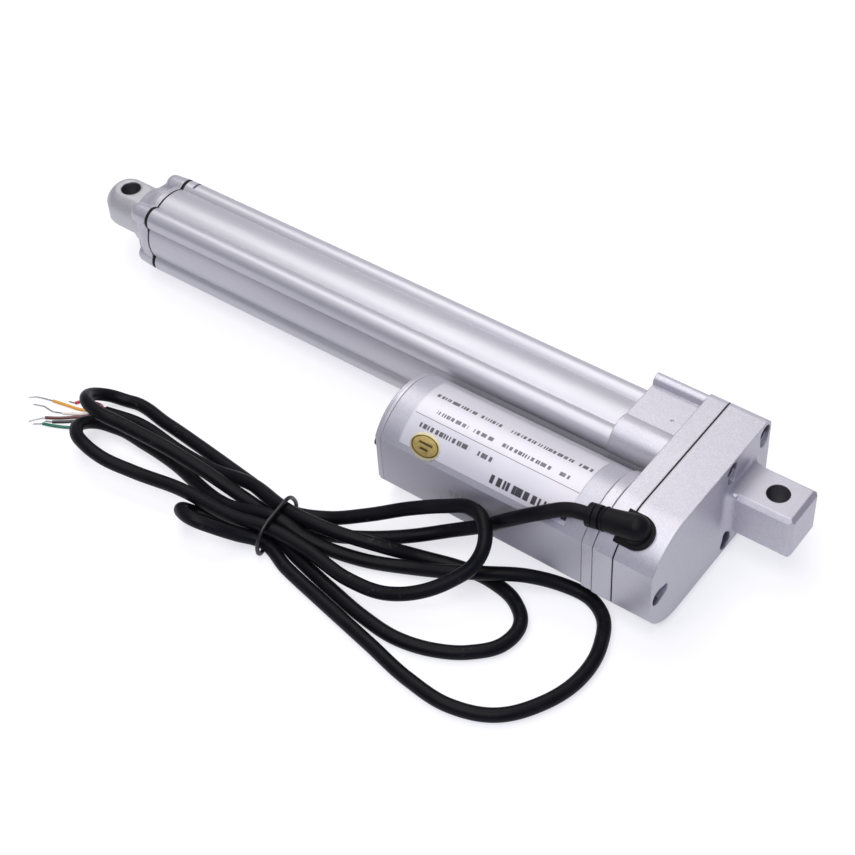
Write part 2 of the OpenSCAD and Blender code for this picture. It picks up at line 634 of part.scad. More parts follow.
route = [
  // from the elbow down the motor side to the tie
  [42.2, 53, 21], [50, 54, 19.8], [60, 58.2, 15.5], [70, 60.9, 8.5], [80.5, 61, -1.5],
  [94, 63.5, -10.5], [107.5, 71.3, -15], [121, 78.3, -18], [136, 85, -19.4], [152, 90, -18.2],
  // first loop out
  [168, 89.3, -17.6], [185, 90, -13.5], [206, 91, -10], [226, 93, -7.5], [238.5, 94, -6.5],
  [247, 91, -8], [251.5, 85, -12.3], [249.5, 78.5, -17], [241.5, 74.3, -19.7], [222, 75.2, cz],
  [204, 77, cz], [187, 79, cz], [173, 80.8, -19.8], [152, 84.4, -18.2],
  // second loop, against the motor
  [138, 79.5, -17], [124, 73.5, -12], [110, 66.7, -6], [97.5, 61.9, -1.2], [87, 61.2, 4],
  [78.5, 65, 6], [74, 70.5, 3], [74, 77, -2.5], [79, 84.5, -7.3], [87.5, 92.5, -11.3], [98, 97.5, -14],
  [113, 99.3, -15], [133, 97.6, -14], [152, 98.1, -13.2],
  // third loop out
  [165, 100.7, -13.8], [190, 102, -13], [210, 105.5, -12.8], [224, 107.8, -11.2],
  [232.5, 107.2, -10.2], [240.5, 104, -11.2], [245, 98, -14], [243.5, 91.8, -17.4], [236, 88.3, -19.3],
  [221, 88, cz], [203, 89.6, cz], [189, 92.7, -19.8], [172, 95.8, -16.8], [152, 92.7, -13.2],
  // long loop in front
  [135, 92, -16.5], [117, 87, -19], [100, 80.3, -18.6], [86, 75.5, -16], [74, 69.8, -14.3],
  [62, 62.3, -15], [52, 56.8, -18], [43, 54.7, -19.8], [33.5, 58.5, cz], [26.5, 70, cz],
  [24.5, 86, cz], [29.5, 102, cz], [39, 114, cz], [54, 119.8, cz], [72, 119, cz], [92, 114.7, cz],
  [120, 108.7, cz], [137, 105, -19.6], [152, 101.2, -18.2],
  // short loop out
  [159.5, 105.3, -15.7], [166, 109.8, -11.7], [173, 112.5, -9.5], [179.5, 111.3, -11],
  [183.7, 107.5, -15], [181.5, 103.8, -18.9], [173.5, 101.3, cz], [163.5, 99.3, -19.5],
  [152, 95.6, -18.2],
  // inner loop in front
  [137, 99, -19.5], [118, 103.3, cz], [101, 106.6, cz], [86, 107.5, cz], [73, 104.5, cz],
  [61.5, 98, cz], [53.8, 88, cz], [54.2, 78, cz], [61, 71.3, cz], [73, 68.2, cz], [87, 69.5, cz],
  [100, 74, -18.8], [112, 80.5, -14.8], [131, 86.2, -12.9], [152, 87.3, -13.2],
  // free end
  [170, 84, -14.8], [190, 84.6, -18], [210, 83.2, cz], [232, 81.5, cz], [246, 84.3, cz]];
// frames carried along a line of points without twist, then rings and skin
function unit(v) = v / norm(v);
function seg_dir(P, i) = unit(P[min(i + 1, len(P) - 1)] - P[min(i, len(P) - 2)]);
function bisector(P, i) = unit(seg_dir(P, i) + (i > 0 ? seg_dir(P, i - 1) : seg_dir(P, i)));
function across(t, n) = unit(n - (n * t) * t);
module sweep(P, rad, sides) {
  n = len(P);
  // rad is one radius, or one for each point
  rr = is_list(rad) ? rad : [for (i = [0:n - 1]) rad];
  nrm = [for (i = 0, v = across(bisector(P, 0), [0.1, 0.2, 1]); i < n;
          i = i + 1, v = i < n ? across(bisector(P, i), v) : v) v];
  pts = [for (i = [0:n - 1]) let(t = bisector(P, i), u = nrm[i], w = cross(t, u))
          for (k = [0:sides - 1]) let(a = 360 * k / sides) P[i] + rr[i] * (cos(a) * u + sin(a) * w)];
  faces = concat(
    [[for (k = [0:sides - 1]) k]],
    [for (i = [0:n - 2]) for (k = [0:sides - 1]) let(a = i * sides + k, b = i * sides + (k + 1) % sides) [a, a + sides, b + sides]],
    [for (i = [0:n - 2]) for (k = [0:sides - 1]) let(a = i * sides + k, b = i * sides + (k + 1) % sides) [a, b + sides, b]],
    [[for (k = [sides - 1:-1:0]) (n - 1) * sides + k]]);
  polyhedron(points = pts, faces = faces, convexity = 10);
}
module power_cable() { color(black) sweep(route, cable_d / 2, 10); }
// rubber ring round the seven strands
tie_r = 0.75;
tie_path = [[152.6, 80.4, -18], [152.4, 81.3, -14.4], [151.8, 84.6, -10.2], [151, 89.5, -9.3], [150.4, 95.4, -9.3],
  [150, 100.2, -9.9], [150, 104.2, -13.6], [150, 105.5, -17.8], [150.2, 104.8, -20.6], [150.6, 103, -21.7],
  [151.3, 93, -21.7], [152.2, 83, -21.7], [152.5, 81.1, -20.7]];
module ring_sweep(P, r, sides) {
  n = len(P);
  m = unit(cross(P[3] - P[0], P[6] - P[0]));
  pts = [for (i = [0:n - 1]) let(t = unit(P[(i + 1) % n] - P[(i + n - 1) % n]), u = across(t, m), w = cross(t, u))
          for (k = [0:sides - 1]) let(a = 360 * k / sides) P[i] + r * (cos(a) * u + sin(a) * w)];
  faces = concat(
    [for (i = [0:n - 1]) for (k = [0:sides - 1]) let(j = (i + 1) % n, k2 = (k + 1) % sides) [i * sides + k, j * sides + k, j * sides + k2]],
    [for (i = [0:n - 1]) for (k = [0:sides - 1]) let(j = (i + 1) % n, k2 = (k + 1) % sides) [i * sides + k, j * sides + k2, i * sides + k2]]);
  polyhedron(points = pts, faces = faces, convexity = 4);
}
module cable_tie() { color(black) ring_sweep(tie_path, tie_r, 8); }
// six wires out of the jacket end; each keeps its insulation up to the last
// points, where the bare conductor goes on
wz = -21.8;
jacket_end = [246.03, 84.3, cz];
function wire_start(a) = jacket_end + 1.45 * [-0.2 * cos(a), 0.98 * cos(a), sin(a)];
wires = [
  [150, [[250.5, 82, -20.4], [256, 81.8, wz], [259.6, 83.6, wz], [261.4, 86, wz]], [[264.4, 86.6, -22.1]]],
  [210, [[251.5, 84.6, wz], [257, 87.4, wz], [263, 88.7, wz], [269.5, 90, wz]], [[274, 91, -22.1], [277.3, 92, -22.1], [279.3, 94, -22.1]]],
  [90, [[250.4, 86, -20.2], [255.5, 89.5, wz], [261.5, 92.8, wz]], [[265.8, 94.3, -22.1], [270.7, 94, -22.1], [275, 95.6, -22.1]]],
  [270, [[250.6, 87, wz], [255.8, 91.6, wz], [260.5, 95.4, wz], [265.5, 98.5, wz]], [[268.2, 101, -22.1], [269.8, 103.5, -22.1]]],
  [30, [[249.6, 88.7, -20.7], [253, 92, wz], [257, 95.4, wz], [261.5, 98.6, wz]], [[264.6, 99.8, -22.1]]],
  [330, [[248, 88.6, wz], [249, 93.4, wz], [254.5, 97.4, wz], [260.5, 100.2, wz], [264, 101.4, wz]], [[267.4, 103.6, -22.1]]]];
module cable_wires() {
  color([0.6, 0.3, 0.15]) for (w = wires) {
    last = w[1][len(w[1]) - 1];
    out = unit(w[2][0] - last);
    P = concat([wire_start(w[0]), wire_start(w[0]) + [1.8, 0.36, 0]], w[1], [last + 0.02 * out], w[2]);
    n1 = len(w[1]) + 2;
    sweep(P, [for (i = [0:len(P) - 1]) i < n1 ? wire_d / 2 : 0.32], 8);
  }
}

rear_gear_case();
front_gear_case();
case_gasket();
case_screws();
outer_tube();
front_gasket();
front_end_cap();
front_cap_screws();
tube_screws();
rod_guide_bush();
rod_seal();
rod_tube();
rod_eye();
drive_nut();
nut_pins();
lead_screw();
screw_gear();
gear_key();
screw_retaining_ring();
screw_tip_guide();
rear_bush();
thrust_washer_fixed();
thrust_balls();
thrust_washer_turning();
screw_bearing_outer();
screw_bearing_balls();
screw_bearing_inner();
idler_gear();
idler_shaft();
idler_washers();
limit_switch_board();
limit_switches();
motor_collar();
motor_cover();
motor_end_cap();
end_cap_screws();
motor_screws();
motor_can();
motor_magnets();
motor_front_bush();
motor_endbell();
motor_rear_bush();
motor_shaft();
armature_core();
armature_windings();
commutator();
brush_holder();
brushes();
motor_pinion();
hall_magnet();
hall_board();
rating_label();
inspection_sticker();
cable_elbow();
power_cable();
cable_tie();
cable_wires();
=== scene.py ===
import bpy, bmesh, math, random
from mathutils import Vector, Matrix


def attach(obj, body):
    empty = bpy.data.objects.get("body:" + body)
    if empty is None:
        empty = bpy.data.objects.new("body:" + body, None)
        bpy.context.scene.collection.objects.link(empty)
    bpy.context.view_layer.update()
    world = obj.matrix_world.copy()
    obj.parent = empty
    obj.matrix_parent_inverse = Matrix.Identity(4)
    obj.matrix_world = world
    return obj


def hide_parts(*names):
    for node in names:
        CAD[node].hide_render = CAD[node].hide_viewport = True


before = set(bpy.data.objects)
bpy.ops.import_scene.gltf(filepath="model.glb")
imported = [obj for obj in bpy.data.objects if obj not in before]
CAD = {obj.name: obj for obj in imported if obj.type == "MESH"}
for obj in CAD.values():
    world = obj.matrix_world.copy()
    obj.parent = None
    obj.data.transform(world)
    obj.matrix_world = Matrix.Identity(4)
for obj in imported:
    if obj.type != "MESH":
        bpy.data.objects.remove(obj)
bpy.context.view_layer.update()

MM = 0.001

# ------------------------------------------------------------------ camera
cam_data = bpy.data.cameras.new("camera")
cam_data.sensor_fit = "HORIZONTAL"
cam_data.sensor_width = 36.0
cam_data.lens = 78.02
cam_data.clip_start = 0.01
cam_data.clip_end = 20.0
cam = bpy.data.objects.new("camera", cam_data)
bpy.context.scene.collection.objects.link(cam)
right = Vector((-0.80116, -0.59673, -0.04537)).normalized()
up = Vector((0.40296, -0.59396, 0.69630)).normalized()
back = right.cross(up).normalized()
up = back.cross(right).normalized()
m = Matrix((right, up, back)).transposed().to_4x4()
m.translation = Vector((-0.176024, 0.402297, 0.487353))
cam.matrix_world = m
bpy.context.scene.camera = cam

# ------------------------------------------------------------------ node helpers
def new_mat(name):
    mt = bpy.data.materials.new(name)
    mt.use_nodes = True
    nt = mt.node_tree
    nt.nodes.clear()
    out = nt.nodes.new("ShaderNodeOutputMaterial")
    bs = nt.nodes.new("ShaderNodeBsdfPrincipled")
    nt.links.new(bs.outputs[0], out.inputs[0])
    return mt, nt, bs

def coord(nt, scale=(1, 1, 1), rot=(0, 0, 0), loc=(0, 0, 0)):
    tc = nt.nodes.new("ShaderNodeTexCoord")
    mp = nt.nodes.new("ShaderNodeMapping")
    mp.inputs["Scale"].default_value = scale
    mp.inputs["Rotation"].default_value = rot
    mp.inputs["Location"].default_value = loc
    nt.links.new(tc.outputs["Object"], mp.inputs[0])
    return mp.outputs[0]

def noise(nt, vec, scale, detail=3.0, rough=0.55, dist=0.0):
    n = nt.nodes.new("ShaderNodeTexNoise")
    n.inputs["Scale"].default_value = scale
    n.inputs["Detail"].default_value = detail
    n.inputs["Roughness"].default_value = rough
    n.inputs["Distortion"].default_value = dist
    nt.links.new(vec, n.inputs["Vector"])
    return n.outputs["Fac"]

def ramp(nt, fac, stops):
    r = nt.nodes.new("ShaderNodeValToRGB")
    els = r.color_ramp.elements
    while len(els) < len(stops):
        els.new(0.5)
    for e, (p, c) in zip(els, stops):
        e.position = p
        e.color = (c[0], c[1], c[2], 1) if isinstance(c, (tuple, list)) else (c, c, c, 1)
    nt.links.new(fac, r.inputs[0])
    return r.outputs[0]

def math2(nt, op, a, b=None, clamp=False):
    n = nt.nodes.new("ShaderNodeMath")
    n.operation = op
    n.use_clamp = clamp
    for i, v in enumerate((a, b)):
        if v is None:
            continue
        if isinstance(v, (int, float)):
            n.inputs[i].default_value = v
        else:
            nt.links.new(v, n.inputs[i])
    return n.outputs[0]

def maprange(nt, v, a, b, c, d, smooth=False):
    n = nt.nodes.new("ShaderNodeMapRange")
    if smooth:
        n.interpolation_type = "SMOOTHSTEP"
    n.inputs["From Min"].default_value = a
    n.inputs["From Max"].default_value = b
    n.inputs["To Min"].default_value = c
    n.inputs["To Max"].default_value = d
    nt.links.new(v, n.inputs["Value"])
    return n.outputs[0]

def mix(nt, fac, a, b, kind="MIX"):
    n = nt.nodes.new("ShaderNodeMix")
    n.data_type = "RGBA"
    n.blend_type = kind
    for sock, v in ((n.inputs[0], fac), (n.inputs[6], a), (n.inputs[7], b)):
        if isinstance(v, (int, float)):
            sock.default_value = v
        elif isinstance(v, (tuple, list)):
            sock.default_value = (v[0], v[1], v[2], 1)
        else:
            nt.links.new(v, sock)
    return n.outputs[2]

def bump(nt, height, strength, distance, normal=None):
    b = nt.nodes.new("ShaderNodeBump")
    b.inputs["Strength"].default_value = strength
    b.inputs["Distance"].default_value = distance
    nt.links.new(height, b.inputs["Height"])
    if normal is not None:
        nt.links.new(normal, b.inputs["Normal"])
    return b.outputs[0]

def bevel_normal(nt, radius):
    b = nt.nodes.new("ShaderNodeBevel")
    b.samples = 4
    b.inputs["Radius"].default_value = radius
    return b.outputs[0]

def edge_mask(nt, radius=0.0006, lo=0.75, hi=0.985):
    """1 on convex and concave edges, 0 on open faces."""
    b = bevel_normal(nt, radius)
    g = nt.nodes.new("ShaderNodeNewGeometry")
    d = nt.nodes.new("ShaderNodeVectorMath")
    d.operation = "DOT_PRODUCT"
    nt.links.new(b, d.inputs[0])
    nt.links.new(g.outputs["Normal"], d.inputs[1])
    return maprange(nt, d.outputs["Value"], lo, hi, 1.0, 0.0)

# ------------------------------------------------------------------ materials
def cast_paint(name, base, dark, rough=0.42, metallic=0.55, grain=1.0, edge_wear_and_highlight=0.5, bevel=0.0006):
    """silver paint on a die casting: flake grain, slight orange peel, rubbed edges that also stand as painted edge
    highlights
    """
    mt, nt, bs = new_mat(name)
    v = coord(nt)
    big = noise(nt, v, 35, 3, 0.5)
    flake = noise(nt, v, 2600, 2, 0.6)
    peel = noise(nt, v, 520, 3, 0.6)
    col = mix(nt, maprange(nt, big, 0.35, 0.65, 0, 1), dark, base)
    fl = ramp(nt, flake, [(0.3, (0.82, 0.82, 0.84)), (0.7, (1.10, 1.10, 1.12))])
    col = mix(nt, 1.0, col, fl, "MULTIPLY")
    em = edge_mask(nt, 0.0005)
    wn = math2(nt, "MULTIPLY", em, maprange(nt, noise(nt, v, 240, 4, 0.7), 0.42, 0.62, 0.15, edge_wear_and_highlight))
    # lighter edges: partly rubbed paint, partly a painted highlight along the edges
    col = mix(nt, wn, col, (0.80, 0.79, 0.78))
    nt.links.new(col, bs.inputs["Base Color"])
    bs.inputs["Metallic"].default_value = metallic
    r = maprange(nt, big, 0.3, 0.7, rough - 0.05, rough + 0.06)
    nt.links.new(r, bs.inputs["Roughness"])
    bn = bevel_normal(nt, bevel)
    h = mix(nt, 0.35, peel, flake)
    nt.links.new(bump(nt, h, 0.16 * grain, 0.0001, bn), bs.inputs["Normal"])
    return mt

def brushed(name, base, rough=0.3, metallic=1.0, along=(25, 900, 900), strength=0.12, bevel=0.00025, vary=0.06):
    """drawn or turned metal with fine lines along one direction"""
    mt, nt, bs = new_mat(name)
    v = coord(nt, along)
    lines = noise(nt, v, 1.0, 4, 0.65)
    cloud = noise(nt, coord(nt), 28, 3, 0.5)
    lo = tuple(c * (1 - vary) for c in base)
    hi = tuple(min(1, c * (1 + vary)) for c in base)
    col = mix(nt, maprange(nt, lines, 0.3, 0.7, 0, 1), lo, hi)
    nt.links.new(col, bs.inputs["Base Color"])
    bs.inputs["Metallic"].default_value = metallic
    r = math2(nt, "ADD", maprange(nt, lines, 0.3, 0.7, rough - 0.04, rough + 0.05), maprange(nt, cloud, 0.3, 0.7, -0.02, 0.02))
    nt.links.new(r, bs.inputs["Roughness"])
    nt.links.new(bump(nt, lines, strength, 0.00005, bevel_normal(nt, bevel)), bs.inputs["Normal"])
    return mt

def rubber(name, base, rough=0.55, fine=1800, strength=0.25, sheen=0.0, bevel=0.0, spec=0.5, scuff=0.0):
    mt, nt, bs = new_mat(name)
    v = coord(nt)
    n1 = noise(nt, v, fine, 3, 0.6)
    n2 = noise(nt, v, 90, 3, 0.5)
    lo = tuple(c * 0.8 for c in base)
    hi = tuple(c * 1.35 for c in base)
    nt.links.new(mix(nt, maprange(nt, n2, 0.3, 0.7, 0, 1), lo, hi), bs.inputs["Base Color"])
    nt.links.new(math2(nt, "ADD", maprange(nt, n2, 0.3, 0.7, rough - 0.05, rough + 0.05), maprange(nt, n1, 0.3, 0.7, -0.04, 0.04)), bs.inputs["Roughness"])
    bs.inputs["Specular IOR Level"].default_value = spec
    if scuff:
        # faint dry scuffs in the jacket
        src = bs.inputs["Base Color"].links[0].from_socket
        sc = math2(nt, "MULTIPLY", maprange(nt, noise(nt, v, 420, 4, 0.7), 0.60, 0.70, 0, 1), maprange(nt, noise(nt, v, 38, 2, 0.5), 0.50, 0.62, 0, 1))
        nt.links.new(mix(nt, math2(nt, "MULTIPLY", sc, scuff), src, (0.06, 0.06, 0.065)), bs.inputs["Base Color"])
    if sheen:
        bs.inputs["Sheen Weight"].default_value = sheen
        bs.inputs["Sheen Roughness"].default_value = 0.5
    nn = bump(nt, n1, strength, 0.00006, bevel_normal(nt, bevel) if bevel else None)
    nt.links.new(nn, bs.inputs["Normal"])
    return mt

def plastic(name, base, rough=0.35, strength=0.08, fine=900, vary=0.08, sub=0.0):
    mt, nt, bs = new_mat(name)
    v = coord(nt)
    n1 = noise(nt, v, fine, 3, 0.6)
    n2 = noise(nt, v, 120, 2, 0.5)
    lo = tuple(c * (1 - vary) for c in base)
    hi = tuple(min(1, c * (1 + vary)) for c in base)
    nt.links.new(mix(nt, maprange(nt, n2, 0.3, 0.7, 0, 1), lo, hi), bs.inputs["Base Color"])
    nt.links.new(maprange(nt, n1, 0.3, 0.7, rough - 0.05, rough + 0.06), bs.inputs["Roughness"])
    nt.links.new(bump(nt, n1, strength, 0.00005), bs.inputs["Normal"])
    return mt

M = {}
M["cast"] = cast_paint("cast_silver", (0.50, 0.488, 0.527), (0.46, 0.448, 0.487), 0.385, 0.45, 1.0, 0.8)
M["cover"] = cast_paint("cover_silver", (0.455, 0.445, 0.485), (0.425, 0.415, 0.455), 0.43, 0.42, 0.5, 0.4)
M["tube"] = brushed("tube_anodised", (0.475, 0.467, 0.508), 0.43, 0.55, (2, 1500, 1500), 0.013, 0.0003, 0.035)
M["rod"] = brushed("rod_metal", (0.66, 0.66, 0.68), 0.27, 1.0, (2, 1800, 1800), 0.012, 0.0003, 0.03)
def dark_bore(mt, cx, r):
    """the inside of a cross hole of radius r mm at x = cx is in the dark"""
    nt = mt.node_tree
    bs = next(n for n in nt.nodes if n.type == "BSDF_PRINCIPLED")
    src = bs.inputs["Base Color"].links[0].from_socket
    tc = nt.nodes.new("ShaderNodeTexCoord")
    sx = nt.nodes.new("ShaderNodeSeparateXYZ")
    nt.links.new(tc.outputs["Object"], sx.inputs[0])
    x = math2(nt, "SUBTRACT", math2(nt, "MULTIPLY", sx.outputs[0], 1000.0), cx)
    y = math2(nt, "MULTIPLY", sx.outputs[1], 1000.0)
    d = math2(nt, "SQRT", math2(nt, "ADD", math2(nt, "MULTIPLY", x, x), math2(nt, "MULTIPLY", y, y)))
    nt.links.new(mix(nt, maprange(nt, d, r + 0.05, r + 0.2, 0.85, 0.0), src, (0.05, 0.05, 0.056)), bs.inputs["Base Color"])
def pocket_painted_shade(mt, spots, r, x0):
    """painted shade: darkened insides of the screw pockets in the rear face"""
    nt = mt.node_tree
    bs = next(n for n in nt.nodes if n.type == "BSDF_PRINCIPLED")
    src = bs.inputs["Base Color"].links[0].from_socket
    tc = nt.nodes.new("ShaderNodeTexCoord")
    sx = nt.nodes.new("ShaderNodeSeparateXYZ")
    nt.links.new(tc.outputs["Object"], sx.inputs[0])
    x = math2(nt, "MULTIPLY", sx.outputs[0], 1000.0)
    tot = None
    for cy, cz0 in spots:
        y = math2(nt, "SUBTRACT", math2(nt, "MULTIPLY", sx.outputs[1], 1000.0), cy)
        z = math2(nt, "SUBTRACT", math2(nt, "MULTIPLY", sx.outputs[2], 1000.0), cz0)
        d = math2(nt, "SQRT", math2(nt, "ADD", math2(nt, "MULTIPLY", y, y), math2(nt, "MULTIPLY", z, z)))
        k = maprange(nt, d, r + 0.08, r + 0.2, 1.0, 0.0)
        tot = k if tot is None else math2(nt, "MAXIMUM", tot, k)
    deep = maprange(nt, x, x0, x0 + 1.2, 0.0, 0.8)
    shallow = maprange(nt, x, x0 + 6.5, x0 + 7.0, 1.0, 0.0)
    # painted shade mixed into the base colour in the deep part of each pocket
    nt.links.new(mix(nt, math2(nt, "MULTIPLY", tot, math2(nt, "MULTIPLY", deep, shallow)), src, (0.09, 0.09, 0.10)), bs.inputs["Base Color"])
def flat_print(mt):
    """two faint rows of plain marks on the flat side of the motor cover"""
    nt = mt.node_tree
    bs = next(n for n in nt.nodes if n.type == "BSDF_PRINCIPLED")
    src = bs.inputs["Base Color"].links[0].from_socket
    tc = nt.nodes.new("ShaderNodeTexCoord")
    sx = nt.nodes.new("ShaderNodeSeparateXYZ")
    nt.links.new(tc.outputs["Object"], sx.inputs[0])
    x = math2(nt, "MULTIPLY", sx.outputs[0], 1000.0)
    y = math2(nt, "MULTIPLY", sx.outputs[1], 1000.0)
    z = math2(nt, "MULTIPLY", sx.outputs[2], 1000.0)
    on = maprange(nt, y, 57.2, 57.25, 0, 1)
    tot = None
    for zc, h, x0, x1, seed in ((1.0, 1.5, 79, 99, 5.0), (-4.5, 1.3, 82, 103, 23.0)):
        b = maprange(nt, math2(nt, "ABSOLUTE", math2(nt, "SUBTRACT", z, zc)), h - 0.1, h + 0.1, 1, 0)
        inx = math2(nt, "MULTIPLY", maprange(nt, x, x0, x0 + 0.2, 0, 1), maprange(nt, x, x1 - 0.2, x1, 1, 0))
        w = nt.nodes.new("ShaderNodeTexNoise")
        w.noise_dimensions = "1D"
        w.inputs["Scale"].default_value = 1.0
        w.inputs["Detail"].default_value = 0.0
        nt.links.new(math2(nt, "MULTIPLY", math2(nt, "ADD", x, seed), 1.3), w.inputs["W"])
        mk = math2(nt, "MULTIPLY", math2(nt, "MULTIPLY", b, inx), maprange(nt, w.outputs["Fac"], 0.52, 0.56, 0, 1))
        tot = mk if tot is None else math2(nt, "MAXIMUM", tot, mk)
    nt.links.new(mix(nt, math2(nt, "MULTIPLY", math2(nt, "MULTIPLY", tot, on), 0.45), src, (0.16, 0.15, 0.17)), bs.inputs["Base Color"])
flat_print(M["cover"])
dark_bore(M["cast"], 0.0, 4.2)
# painted shade inside the five screw pockets of the rear face
pocket_painted_shade(M["cast"], ((-15.3, 17.8), (-15.3, -17.8), (7.1, 18.3), (7.1, -18.3), (53.6, -2.3)), 3.45, 14.7)
M["eye"] = brushed("eye_metal", (0.475, 0.47, 0.49), 0.45, 0.6, (700, 700, 700), 0.18, 0.0018)
dark_bore(M["eye"], 305.0, 4.1)
M["gasket"] = rubber("gasket_rubber", (0.008, 0.008, 0.009), 0.7, 1800, 0.25, 0.0, 0.0, 0.25)
M["elbow"] = rubber("elbow_rubber", (0.0045, 0.0044, 0.006), 0.47, 1500, 0.35, 0.0, 0.0006, 0.11)
M["cable"] = rubber("cable_jacket", (0.0045, 0.0044, 0.0062), 0.42, 1400, 0.18, 0.0, 0.0, 0.09, 0.5)
M["tie"] = rubber("tie_rubber", (0.006, 0.006, 0.007), 0.42, 1500, 0.2)
M["zinc"] = brushed("screw_zinc", (0.46, 0.46, 0.47), 0.32, 1.0, (500, 500, 500), 0.2)
M["blackscrew"] = brushed("screw_black", (0.06, 0.06, 0.062), 0.4, 0.8, (500, 500, 500), 0.2)
M["steel"] = brushed("ground_steel", (0.60, 0.60, 0.62), 0.24, 1.0, (1400, 300, 300), 0.02)
M["bronze"] = brushed("sintered_bronze", (0.52, 0.36, 0.18), 0.45, 0.9, (600, 600, 600), 0.2)
M["brass"] = brushed("turned_brass", (0.72, 0.55, 0.26), 0.28, 1.0, (1400, 300, 300), 0.03)
M["copper"] = brushed("enamelled_copper", (0.60, 0.26, 0.10), 0.35, 0.8, (1200, 200, 200), 0.3)
M["lamination"] = brushed("lamination_steel", (0.22, 0.22, 0.24), 0.45, 0.8, (2500, 60, 60), 0.3)
M["acetal"] = plastic("natural_acetal", (0.82, 0.80, 0.72), 0.38)
M["darkplastic"] = plastic("dark_plastic", (0.04, 0.04, 0.042), 0.42)
M["phenolic"] = plastic("phenolic", (0.26, 0.13, 0.06), 0.4)
M["board"] = plastic("board_green", (0.03, 0.16, 0.07), 0.35)
M["magnet"] = plastic("ferrite", (0.07, 0.07, 0.075), 0.55)
M["carbon"] = plastic("carbon", (0.03, 0.03, 0.03), 0.6)
M["cream"] = plastic("cream_plastic", (0.7, 0.68, 0.62), 0.4)

# printed film on the motor cover: pale film with one ruled line and plain print
# marks in rows; no lettering
def label_film():
    mt, nt, bs = new_mat("label_film")
    tc = nt.nodes.new("ShaderNodeTexCoord")
    sx = nt.nodes.new("ShaderNodeSeparateXYZ")
    nt.links.new(tc.outputs["Object"], sx.inputs[0])
    x = math2(nt, "MULTIPLY", sx.outputs[0], 1000.0)
    y = math2(nt, "SUBTRACT", math2(nt, "MULTIPLY", sx.outputs[1], 1000.0), 38.6)
    z = math2(nt, "MULTIPLY", sx.outputs[2], 1000.0)
    ang = math2(nt, "MULTIPLY", math2(nt, "ARCTAN2", z, y), 180 / math.pi)   # degrees round the motor axis
    def band(v, c, h, soft=0.12):
        d = math2(nt, "ABSOLUTE", math2(nt, "SUBTRACT", v, c))
        return maprange(nt, d, h - soft, h + soft, 1.0, 0.0)
    def line_noise(cell, seed, shift=None):
        w = nt.nodes.new("ShaderNodeTexNoise")
        w.noise_dimensions = "1D"
        w.inputs["Scale"].default_value = 1.0
        w.inputs["Detail"].default_value = 0.0
        u = math2(nt, "MULTIPLY", math2(nt, "ADD", x, seed), 1.0 / cell)
        if shift is not None:
            u = math2(nt, "ADD", u, shift)
        nt.links.new(u, w.inputs["W"])
        return w.outputs["Fac"]
    def row(a0, half, x0, x1, cell, seed, fill, dark):
        """a row of plain print marks between x0 and x1: separate upright bars of one height
        and uneven width, with gaps between groups"""
        inx = math2(nt, "MULTIPLY", maprange(nt, x, x0 - 0.1, x0 + 0.1, 0, 1), maprange(nt, x, x1 - 0.1, x1 + 0.1, 1, 0))
        bars = maprange(nt, line_noise(cell, seed), fill, fill + 0.05, 0, 1)
        gaps = maprange(nt, line_noise(cell * 6, seed + 31), 0.33, 0.35, 0, 1)
        full = band(ang, a0, half, 0.2)
        body = math2(nt, "MULTIPLY", full, bars)
        return math2(nt, "MULTIPLY", math2(nt, "MULTIPLY", math2(nt, "MULTIPLY", body, gaps), inx), dark)
    v = coord(nt)
    n1 = noise(nt, v, 60, 3, 0.5)
    col = mix(nt, maprange(nt, n1, 0.3, 0.7, 0, 1), (0.545, 0.53, 0.58), (0.585, 0.565, 0.615))
    ink = (0.03, 0.03, 0.035)
    # the film is clearer at its rim, where the silver below shows through
    rim = math2(nt, "MAXIMUM", maprange(nt, math2(nt, "ABSOLUTE", math2(nt, "SUBTRACT", x, 86.25)), 34.4, 35.2, 0, 1), maprange(nt, ang, 114, 118, 0, 1))
    col = mix(nt, math2(nt, "MULTIPLY", rim, 0.6), col, (0.46, 0.455, 0.50))
    marks = [row(44.5, 4.1, 50.5, 87, 1.6, 3.1, 0.42, 0.97), row(60, 2.4, 85, 118.5, 1.05, 17.3, 0.43, 0.9),
             row(78, 2.1, 57.5, 113.5, 1.0, 40.7, 0.43, 0.88), row(96.2, 2.1, 52.5, 118.5, 0.95, 71.9, 0.43, 0.88)]
    for mk in marks:
        col = mix(nt, mk, col, ink)
    line = math2(nt, "MULTIPLY", band(ang, 69.0, 0.38, 0.25), math2(nt, "MULTIPLY", maprange(nt, x, 51.2, 51.4, 0, 1), maprange(nt, x, 120.6, 120.9, 1, 0)))
    col = mix(nt, math2(nt, "MULTIPLY", line, 0.85), col, (0.12, 0.05, 0.06))
    nt.links.new(col, bs.inputs["Base Color"])
    bs.inputs["Metallic"].default_value = 0.15
    nt.links.new(maprange(nt, n1, 0.3, 0.7, 0.27, 0.34), bs.inputs["Roughness"])
    nt.links.new(bump(nt, noise(nt, v, 700, 2, 0.5), 0.05, 0.00005), bs.inputs["Normal"])
    return mt
M["label"] = label_film()

